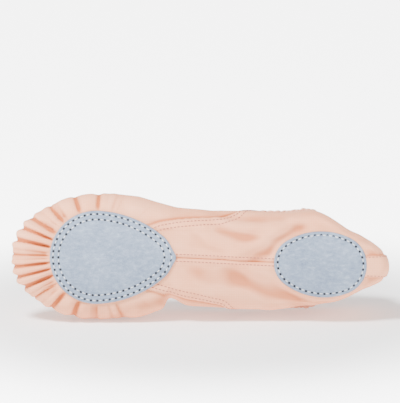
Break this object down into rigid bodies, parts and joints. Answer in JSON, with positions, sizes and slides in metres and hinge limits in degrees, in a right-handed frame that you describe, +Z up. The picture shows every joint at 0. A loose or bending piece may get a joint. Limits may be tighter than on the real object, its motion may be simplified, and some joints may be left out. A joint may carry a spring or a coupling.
{
  "type": "ballet slipper",
  "caption": "Soft canvas split-sole ballet slipper on its side, with gathered toe, suede sole patches, bound throat and crossed elastic straps.",
  "frame": {"origin": "centre of the bounding box's bottom, on the surface that the slipper lies on", "axes": "the slipper lies on its side: +X runs from the toe to the heel, the sole faces -Y and leans back 10 degrees, +Z is up, across the slipper"},
  "size_m": [0.2359, 0.0645, 0.0785],
  "materials": {
    "canvas": "light peach cotton canvas, plain weave",
    "lining": "thin peach cotton lining",
    "suede": "blue-grey suede, napped side out",
    "foam": "pale foam",
    "insole_cloth": "pale brushed cotton",
    "binding": "folded peach cotton tape",
    "elastic": "woven peach elastic",
    "patch_thread": "light grey thread",
    "seam_thread": "mauve pink thread"
  },
  "bodies": {
    "forefoot": {"vamp": "canvas", "vamp_lining": "lining", "forefoot_sole_patch": "suede", "forefoot_insole_pad": "foam", "forefoot_insole_cover": "insole_cloth", "throat_binding_front": "binding", "forefoot_patch_outer_stitches": "patch_thread", "forefoot_patch_inner_stitches": "patch_thread", "vamp_seam_stitches_left": "seam_thread", "vamp_seam_stitches_right": "seam_thread"},
    "heel": {"quarter_left": "canvas", "quarter_right": "canvas", "quarter_lining_left": "lining", "quarter_lining_right": "lining", "heel_back_strip": "canvas", "heel_sole_patch": "suede", "heel_insole_pad": "foam", "heel_insole_cover": "insole_cloth", "throat_binding_rear": "binding", "elastic_drawcord": "elastic", "elastic_strap_under": "elastic", "elastic_strap_over": "elastic", "heel_patch_stitches": "patch_thread", "arch_seam_stitches_left": "seam_thread", "arch_seam_stitches_right": "seam_thread", "back_strip_stitches": "seam_thread"}
  },
  "joints": [
    {"name": "arch_flex", "type": "hinge", "parent": "forefoot", "child": "heel", "pos_m": [-0.0109, -0.02598, 0.04151], "axis": [0, -0.1736, -0.9848], "range_deg": [0, 60], "deforming": ["elastic_drawcord"]}
  ]
}
